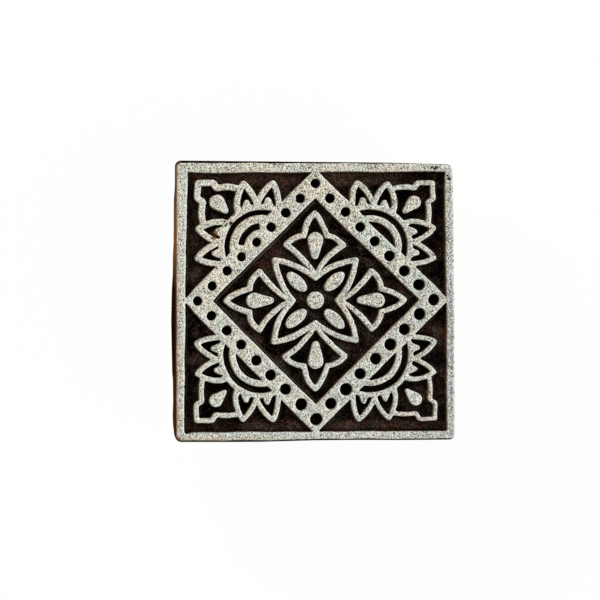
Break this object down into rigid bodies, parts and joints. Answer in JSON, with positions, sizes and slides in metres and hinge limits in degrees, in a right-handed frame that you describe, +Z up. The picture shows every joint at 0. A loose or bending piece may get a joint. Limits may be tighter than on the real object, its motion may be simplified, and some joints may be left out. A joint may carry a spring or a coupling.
{
  "type": "textile printing block",
  "caption": "Square hardwood block whose face is carved in relief with a bordered diamond and flower, nailed to a wooden handle, for printing cloth by hand.",
  "frame": {"origin": "middle of the handle's flat free end, which the block rests on", "axes": "+Z up, out of the printing face; +X along the handle; +Y towards the top of the pattern"},
  "size_m": [0.0584, 0.0584, 0.042],
  "materials": {
    "stained_sheesham": "dye-stained, hand-carved",
    "chalk_ground": "matt chalk-white, speckled and worn",
    "oiled_sheesham": "oiled, worn smooth",
    "nail_steel": "dull, lightly rusted"
  },
  "bodies": {
    "root": {"carved_block": "stained_sheesham", "ground_coat": "chalk_ground", "handle": "oiled_sheesham", "handle_nails": "nail_steel"}
  },
  "joints": []
}
